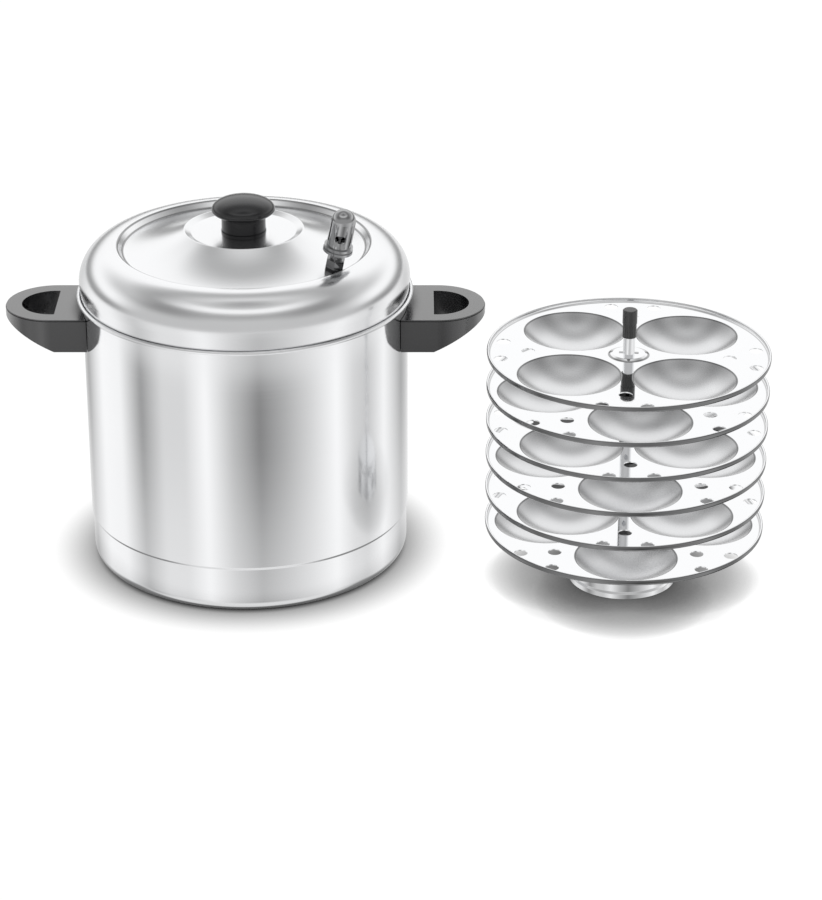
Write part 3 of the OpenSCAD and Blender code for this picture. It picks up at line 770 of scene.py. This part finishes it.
def plate_tree():
    """One plate: a flat sheet with cups, steam holes, a raised hub with a keyhole, and a rolled rim."""
    tree, graph, value = new_tree("Cup plate", [
        ("Geometry", "Geometry"), ("Cup outline", "Object"), ("Rim outline", "Object"),
        ("Hub outline", "Object"), ("Steps", "Int"), ("Thickness", "Float"), ("Rim bend radius", "Float"),
        ("Cup mouth radius", "Float"), ("Cup ring", "Float"), ("Hub foot radius", "Float"),
        ("Hub top radius", "Float"), ("Hub height", "Float"), ("Hole radius", "Float"),
        ("Outer ring", "Float"), ("Outer spread", "Float"), ("Inner ring", "Float"), ("Covered", "Float"),
        ("Turn", "Float"), ("Place", "Vector"), ("Material", "Material")])
    thickness = value["Thickness"]

    def circle(radius, steps):
        return graph.add("GeometryNodeCurvePrimitiveCircle", None, {"Resolution": steps, "Radius": radius})

    def joined(*parts):
        return graph.add("GeometryNodeJoinGeometry", None, {0: list(parts)})

    def moved(geometry, place=(0, 0, 0), turn=0.0):
        return graph.add("GeometryNodeTransform", None,
                         {"Geometry": geometry, "Translation": place, "Rotation": graph.join(0, 0, turn)})

    def stored(geometry, label, number, domain="POINT"):
        return graph.add("GeometryNodeStoreNamedAttribute", {"data_type": "FLOAT", "domain": domain},
                         {"Geometry": geometry, "Name": label, "Value": number})

    def spin(outline_name, steps):
        held = graph.add("GeometryNodeObjectInfo", None, {"Object": value[outline_name]}, "Geometry")
        group = graph.tree.nodes.new("GeometryNodeGroup")
        group.node_tree = spun_tree()
        graph.feed(group.inputs["Geometry"], held)
        graph.feed(group.inputs["Steps"], steps)
        graph.feed(group.inputs["Material"], value["Material"])
        return Value(graph, group.outputs[0])

    def fourfold(part, ring, turn):
        spots = moved(graph.add("GeometryNodeMeshCircle", None, {"Vertices": 4, "Radius": ring}), turn=turn)
        copies = graph.add("GeometryNodeInstanceOnPoints", None, {"Points": spots, "Instance": part})
        return graph.add("GeometryNodeRealizeInstances", None, {0: copies})

    def all_holes(part):
        half = value["Outer spread"] * 0.5
        return joined(fourfold(part, value["Outer ring"], half), fourfold(part, value["Outer ring"], -half),
                      fourfold(part, value["Inner ring"], 0.0))

    def walls(curve):
        line = graph.add("GeometryNodeCurvePrimitiveLine", {"mode": "POINTS"},
                         {"Start": (0, 0, 0), "End": graph.join(0, thickness, 0)})
        return graph.add("GeometryNodeCurveToMesh", None, {"Curve": curve, "Profile Curve": line})

    def both_faces(curves):
        face = graph.add("GeometryNodeFillCurve", None, {"Curve": curves})
        return joined(face, moved(face, graph.join(0, 0, -thickness)))

    steps = value["Steps"]
    cup_turn = math.radians(45)
    cup = spin("Cup outline", steps)
    x, y, _ = graph.split(graph.add("GeometryNodeInputPosition"))
    reach = (x * x + y * y) ** 0.5 / value["Cup mouth radius"]
    marked = stored(stored(cup, "satin", reach < CUP_LINE, "FACE"), "reach", reach)
    mouths = fourfold(circle(value["Cup mouth radius"], steps), value["Cup ring"], cup_turn)
    hole = circle(value["Hole radius"], HOLE_STEPS)
    sheet = both_faces(joined(circle(value["Rim bend radius"], steps), mouths, all_holes(hole),
                              circle(value["Hub foot radius"], steps)))
    hub_top = both_faces(joined(circle(value["Hub top radius"], steps), value["Geometry"]))
    up = graph.join(0, 0, value["Hub height"])
    whole = joined(sheet, fourfold(marked, value["Cup ring"], cup_turn), all_holes(walls(hole)),
                   spin("Rim outline", steps), spin("Hub outline", steps),
                   moved(joined(hub_top, walls(value["Geometry"])), up))
    welded = graph.add("GeometryNodeMergeByDistance", None, {"Geometry": whole, "Distance": WELD})
    placed = moved(stored(welded, "covered", value["Covered"]), value["Place"], value["Turn"])
    end_tree(graph, placed, value["Material"])
    return tree


def keyhole_path(plate):
    """A round hole with a square notch to each side, seen from above."""
    radius, reach, half = plate.keyhole / 2, plate.notch / 2, plate.notch_width / 2
    start = math.degrees(math.asin(half / radius))
    right = [Vector((reach, -half)), Vector((reach, half))]
    left = [Vector((-reach, half)), Vector((-reach, -half))]
    back = arc((0, 0), radius, start, 180 - start)
    front = arc((0, 0), radius, 180 + start, 360 - start)
    return right + back + left + front


class STEAMER_OT_plates(SteamerOperator, bpy.types.Operator):
    """Add the six cup plates, each turned and placed on the rod as its joint says"""

    bl_idname = "steamer.plates"
    bl_label = "Cup plates"

    def execute(self, context):
        plate = context.scene.steamer_plate
        steps = context.scene.steamer_stage.steps
        t = plate.thickness
        cup_r = plate.cup / 2
        ball = (cup_r ** 2 + plate.depth ** 2) / (2 * plate.depth)
        ball_z = ball - plate.depth
        edge = plate.cup_edge
        mouth = math.sqrt((ball + edge) ** 2 - (ball_z + edge) ** 2)
        lean = math.degrees(math.asin(mouth / (ball + edge)))

        def cup_face(under):
            """The edge's arc and then the bowl, down to its middle; under is 0 above and t below."""
            turn = arc((mouth, -edge), edge - under, 90, 90 + lean, BEND_STEPS)
            bowl = arc((0, ball_z), ball + under, -90 + lean, -90, BOWL_STEPS)
            return turn + bowl[1:]

        cup_path = cup_face(0) + cup_face(t)[::-1]
        inner = across(PLATES[0]) - t
        bead = plate.bead / 2
        bend_r = inner - plate.bend
        rim_top = arc((bend_r, plate.bend), plate.bend, -90, 0, BEND_STEPS)
        rim_under = arc((bend_r, plate.bend), plate.bend + t, -90, 0, BEND_STEPS)
        rolled = arc((inner, plate.lip), bead, 255, -30, BEAD_STEPS)
        rim_path = rim_top + rolled + rim_under[::-1]
        hub_foot, hub_top = plate.hub / 2, plate.hub / 2 - 2 * plate.hub_height
        hub_line = rounded([(hub_foot + HUB_FLAT, 0), (hub_foot, 0, plate.bend),
                            (hub_top, plate.hub_height, plate.bend), (hub_top - HUB_FLAT, plate.hub_height)])
        hub_path = hub_line[::-1] + beside(hub_line, t)
        # Painted shade lines at the plate's edge, its rim's bend and the hub's foot
        rings = [(across(PLATES[0]), RIM_LINE), (bend_r, BEND_LINE), (hub_foot - 0.5 * MM, HUB_LINE)]
        finishes = context.scene.steamer_finish
        material = made_once("plate_bright_steel", lambda n: plate_steel(n, finishes, rings))
        helpers = {"Cup outline": outline("cup_outline", cup_path),
                   "Rim outline": outline("rim_outline", rim_path),
                   "Hub outline": outline("hub_outline", hub_path)}
        tree = plate_tree()
        for node in PLATES:
            move = joint(node + "_turn")
            turn = math.radians(90 - move["range_deg"][1])
            values = {
                **helpers, "Steps": steps // 2, "Thickness": t, "Rim bend radius": bend_r,
                "Cup mouth radius": mouth, "Cup ring": plate.cup_ring, "Hub foot radius": hub_foot + HUB_FLAT,
                "Hub top radius": hub_top - HUB_FLAT, "Hub height": plate.hub_height,
                "Hole radius": plate.hole / 2, "Outer ring": plate.outer_ring,
                "Outer spread": plate.outer_spread, "Inner ring": plate.inner_ring,
                "Covered": float(node != PLATES[-1]), "Turn": turn, "Place": move["pos_m"],
                "Material": material,
            }
            keyhole = outline("keyhole_outline", keyhole_path(plate), True)
            piece = grown("cup_" + node, keyhole, tree, values)
            piece.visible_glossy = False
            settle(smooth(piece), node)
        for helper in helpers.values():
            bpy.data.objects.remove(helper)
        return {"FINISHED"}


class STEAMER_OT_stand(SteamerOperator, bpy.types.Operator):
    """Add the rod, its foot cup and the dark grip, and finish the pins and the nut"""

    bl_idname = "steamer.stand"
    bl_label = "Stand"

    def execute(self, context):
        finishes = context.scene.steamer_finish
        steel = stand_material(finishes)
        settle(recast("foot_cup", "stand_foot", steel), "stand_foot")
        settle(recast("rod", "stand_rod", steel), "stand_rod")
        dark = made_once("grip_dark",
                         lambda n: moulded(n, finishes.moulded, finishes.gloss + 0.08, 0.5, 0.6))
        settle(recast("grip", "stand_grip", dark), "stand_grip")
        for node in ("plate_lugs", "foot_nut"):
            paint(node, hidden_material(finishes))
        return {"FINISHED"}


# Stage: floor, studio light and camera

# Brightness of the panels round the table, by degrees to the right of the camera
AROUND = [(-180, 0.95), (-150, 0.45), (-122, 1.1), (-99, 1.06), (-78, 0.36), (-60, 0.78), (-43, 0.78),
          (-27, 1.12), (-8, 0.6), (11, 0.26), (30, 0.5), (48, 0.77), (69, 1.12), (84, 0.77), (98, 0.66),
          (117, 1.08), (146, 0.44), (180, 0.95)]
# Brightness by degrees above the table, on the camera's side and behind the table
FRONT_UP = [(-90, 0.6), (0, 0.6), (30, 0.62), (44, 0.42), (52, 0.5), (57, 1.12), (66, 1.12), (71, 0.6),
            (76, 0.5), (81, 0.34), (90, 0.34)]
BACK_UP = [(-90, 1.0), (-4, 1.0), (0, 0.3), (7, 0.34), (14, 1.12), (42, 1.12), (49, 0.7), (56, 0.46),
           (63, 0.48), (70, 0.66), (78, 0.88), (84, 0.6), (90, 0.34)]
# Greys of the dark gaps, of the bright ground far under the table and of the light on matt surfaces
GAP, GROUND, SOFT = [(grey, grey, grey, 1) for grey in (0.12, 1.05, 0.80)]

# Length and brightness of the contact shadow, and how far it reaches under the stand's plates
SHADOW, SHADOW_DEPTH, SHADOW_WHITE = 34 * MM, 1.5, 1.04
STAND_SHADOW, STAND_SHADOW_FROM, STAND_SHADOW_TO = 30 * MM, 125 * MM, 30 * MM
FLOOR_SIZE, FLOOR_GAP = 30, 0.05 * MM
LAMP_AIM = Vector((0.1, 0, 0.1))
SENSOR_WIDTH = 36


def share(degrees, whole):
    """Where an angle between -whole/2 and whole/2 falls on a ramp from 0 to 1."""
    return degrees / whole + 0.5


def level(degrees):
    """Where a height over the horizon falls between straight down, 0, and straight up, 1."""
    return share(degrees, 180)


def studio_light(world):
    """Bright panels and darker gaps stand round the table, seen only by shiny surfaces."""
    graph = Graph(world.node_tree)
    x, y, z = graph.split(graph.add("ShaderNodeTexCoord", None, None, "Generated"))
    around = graph.math("ARCTAN2", x, -y) * (0.5 / math.pi) + 0.5
    height = graph.math("ARCSINE", z) / math.pi + 0.5
    side = graph.ramp(around, [(share(a, 360), b) for a, b in AROUND])
    front, behind = [graph.ramp(height, [(level(a), b) for a, b in stops]) for stops in (FRONT_UP, BACK_UP)]
    overhead = graph.mix(graph.fade(y, -0.30, 0.30), front, behind)
    aside = graph.fade(graph.math("ABSOLUTE", x), 0.25, 0.75) * graph.fade(height, level(20), level(38))
    above = graph.mix(aside * 0.5, overhead, GAP)
    under = graph.mix(graph.fade(height, level(-34), level(-56)), side, GROUND)
    far_under = graph.fade(height, level(-30), level(-44)) * graph.fade(y, -0.08, 0.16)
    below = graph.mix(far_under, under, GAP)
    panels = graph.mix(graph.fade(height, level(-7), level(-1)), below, above)
    path = graph.tree.nodes.new("ShaderNodeLightPath")
    seen = Value(graph, path.outputs["Is Camera Ray"])
    soft = Value(graph, path.outputs["Is Diffuse Ray"])
    plain = graph.mix(soft, panels, SOFT)
    colour = graph.mix(seen, plain, (1, 1, 1, 1))
    shader = graph.add("ShaderNodeBackground", None, {"Color": colour})
    graph.add("ShaderNodeOutputWorld", None, {"Surface": shader})


def lamp(name, place, width, watts):
    """A soft lamp aimed at the pot, which shiny surfaces don't mirror."""
    light = bpy.data.lights.new(name, "AREA")
    light.size = width
    light.energy = watts
    holder = bpy.data.objects.new(name, light)
    holder.location = place
    holder.rotation_euler = (LAMP_AIM - Vector(place)).to_track_quat("-Z", "Y").to_euler()
    holder.visible_glossy = False
    bpy.context.scene.collection.objects.link(holder)


def floor_material(colour):
    """A pale matt floor: white to the camera but for soft contact shadows, and bright in shiny walls."""
    material, graph = painted("white_floor")
    path = graph.tree.nodes.new("ShaderNodeLightPath")
    seen, mirrored = [Value(graph, path.outputs[name]) for name in ("Is Camera Ray", "Is Glossy Ray")]
    x, y, _ = graph.split(graph.add("ShaderNodeTexCoord", None, None, "Object"))
    away = (x * x + y * y) ** 0.5
    across_x, across_y = x - STAND.x, y - STAND.y
    from_stand = (across_x * across_x + across_y * across_y) ** 0.5
    reach = graph.fade(from_stand, STAND_SHADOW_FROM, STAND_SHADOW_TO) * STAND_SHADOW + SHADOW
    open_air = graph.add("ShaderNodeAmbientOcclusion", {"samples": 16}, {"Distance": reach}, "AO")
    white = graph.add("ShaderNodeEmission", None,
                      {"Color": (1, 1, 1, 1), "Strength": open_air ** SHADOW_DEPTH * SHADOW_WHITE})
    glare = graph.fade(away, 0.42, 0.11) * 0.4 + graph.fade(away, 0.50, 0.56) * 0.42
    clear = graph.add("ShaderNodeBsdfTransparent")
    matt = graph.add("ShaderNodeBsdfDiffuse", None, {"Color": (*colour, 1)})
    gleam = graph.add("ShaderNodeMixShader", None, {0: glare, 1: clear, 2: white})
    lit = graph.add("ShaderNodeMixShader", None, {0: mirrored, 1: matt, 2: gleam})
    surface = graph.add("ShaderNodeMixShader", None, {0: seen, 1: lit, 2: white})
    graph.add("ShaderNodeOutputMaterial", None, {"Surface": surface})
    return material


class STEAMER_OT_stage(SteamerOperator, bpy.types.Operator):
    """Add the pale floor, the studio light and the camera"""

    bl_idname = "steamer.stage"
    bl_label = "Stage"

    def execute(self, context):
        stage = context.scene.steamer_stage
        scene = context.scene
        bpy.ops.mesh.primitive_plane_add(size=FLOOR_SIZE, location=(0, 0, -FLOOR_GAP))
        floor = context.active_object
        floor.name = "floor"
        floor.data.materials.append(floor_material(stage.floor))
        world = bpy.data.worlds.new("studio")
        world.use_nodes = True
        studio_light(world)
        scene.world = world
        lamp("lamp_left", (-1.2, -1.0, 1.6), 1.2, 14)
        lamp("lamp_right", (1.4, -0.4, 1.5), 1.0, 9)
        data = bpy.data.cameras.new("camera")
        data.lens = stage.lens
        data.sensor_width = SENSOR_WIDTH
        camera = bpy.data.objects.new("camera", data)
        camera.location = stage.place
        camera.rotation_euler = (math.radians(90) - stage.pitch, 0, 0)
        scene.collection.objects.link(camera)
        scene.camera = camera
        scene.view_settings.view_transform = "Standard"
        return {"FINISHED"}


OPERATORS = (STEAMER_OT_stage, STEAMER_OT_pot, STEAMER_OT_lid, STEAMER_OT_knob, STEAMER_OT_vent,
             STEAMER_OT_handles, STEAMER_OT_plates, STEAMER_OT_stand)
GROUPS = {"steamer_pot": SteamerPot, "steamer_lid": SteamerLid, "steamer_plate": SteamerPlate,
          "steamer_finish": SteamerFinish, "steamer_stage": SteamerStage}


class STEAMER_PT_panel(bpy.types.Panel):
    bl_label = "Idli Steamer"
    bl_idname = "STEAMER_PT_panel"
    bl_space_type = "VIEW_3D"
    bl_region_type = "UI"
    bl_category = "Idli Steamer"

    def draw(self, context):
        for name, group in GROUPS.items():
            box = self.layout.box()
            for prop in group.__annotations__:
                box.prop(getattr(context.scene, name), prop)
        for operator in OPERATORS:
            self.layout.operator(operator.bl_idname)


def register():
    for item in (*GROUPS.values(), *OPERATORS, STEAMER_PT_panel):
        bpy.utils.register_class(item)
    for name, group in GROUPS.items():
        setattr(bpy.types.Scene, name, PointerProperty(type=group))


def unregister():
    for name in GROUPS:
        delattr(bpy.types.Scene, name)
    for item in (STEAMER_PT_panel, *reversed(OPERATORS), *reversed(GROUPS.values())):
        bpy.utils.unregister_class(item)


def main():
    register()
    for operator in OPERATORS:
        group, name = operator.bl_idname.split(".")
        getattr(getattr(bpy.ops, group), name)()


if __name__ == "__main__":
    main()
